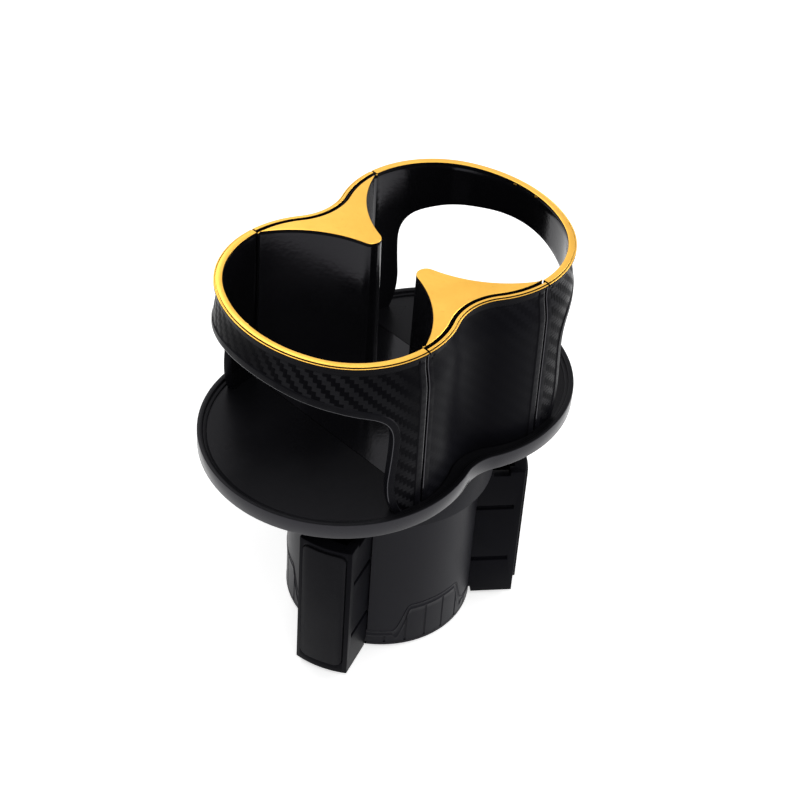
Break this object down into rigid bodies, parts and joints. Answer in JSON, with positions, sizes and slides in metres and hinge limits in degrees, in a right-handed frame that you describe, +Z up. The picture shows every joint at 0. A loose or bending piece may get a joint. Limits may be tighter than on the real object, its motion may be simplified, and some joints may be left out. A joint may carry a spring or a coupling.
{
  "type": "cup holder expander",
  "caption": "Twin cup body with a figure-of-eight plan that swivels on a round base with sliding rubber-faced feet.",
  "frame": {"origin": "centre of the base's flat bottom, on the swivel axis, at the floor", "axes": "+Z up along the swivel axis; +X along the long axis of the cup body, towards the rear cup; +Y towards the left panel"},
  "size_m": [0.121, 0.084, 0.127],
  "materials": {
    "base_plastic": "satin",
    "foot_plastic": "satin",
    "pad_rubber": "matt",
    "tray_plastic": "satin",
    "inner_plastic": "gloss",
    "weave_plastic": "satin woven look",
    "panel_plastic": "satin",
    "gold_trim": "satin metallic",
    "steel": "zinc plated"
  },
  "bodies": {
    "base": {"base_barrel": "base_plastic", "base_cap": "base_plastic", "base_screws": "steel"},
    "front_foot": {"foot_front": "foot_plastic", "pad_front": "pad_rubber"},
    "right_foot": {"foot_right": "foot_plastic", "pad_right": "pad_rubber"},
    "left_foot": {"foot_left": "foot_plastic", "pad_left": "pad_rubber"},
    "adjuster": {"adjuster_ring": "base_plastic"},
    "cup_body": {"pivot_bush": "steel", "pivot_washer": "steel", "pivot_screw": "steel", "tray": "tray_plastic", "centre_frame": "inner_plastic", "front_shell": "weave_plastic", "rear_shell": "weave_plastic", "right_panel": "panel_plastic", "left_panel": "panel_plastic", "front_rim_trim": "gold_trim", "rear_rim_trim": "gold_trim", "right_waist_trim": "gold_trim", "left_waist_trim": "gold_trim", "right_column_cap": "gold_trim", "left_column_cap": "gold_trim", "floor_screws": "steel"}
  },
  "joints": [
    {"name": "body_swivel", "type": "hinge", "parent": "base", "child": "cup_body", "pos_m": [0, 0, 0.06], "axis": [0, 0, 1], "continuous": true},
    {"name": "adjuster_turn", "type": "hinge", "parent": "base", "child": "adjuster", "pos_m": [0, 0, 0.06], "axis": [0, 0, 1], "range_deg": [-17.7, 111.1]},
    {"name": "right_foot_slide", "type": "slide", "parent": "base", "child": "right_foot", "axis": [0.7934, -0.6088, 0], "range_m": [-0.01001, 0.00161]},
    {"name": "left_foot_slide", "type": "slide", "parent": "base", "child": "left_foot", "axis": [0.1305, 0.9914, 0], "range_m": [-0.01001, 0.00161]},
    {"name": "front_foot_slide", "type": "slide", "parent": "base", "child": "front_foot", "axis": [-0.9239, -0.3827, 0], "range_m": [-0.01001, 0.00161]}
  ],
  "couplings": [
    {"joint": "right_foot_slide", "follows": "adjuster_turn", "m_per_rad": -0.0051566},
    {"joint": "left_foot_slide", "follows": "adjuster_turn", "m_per_rad": -0.0051566},
    {"joint": "front_foot_slide", "follows": "adjuster_turn", "m_per_rad": -0.0051566}
  ]
}
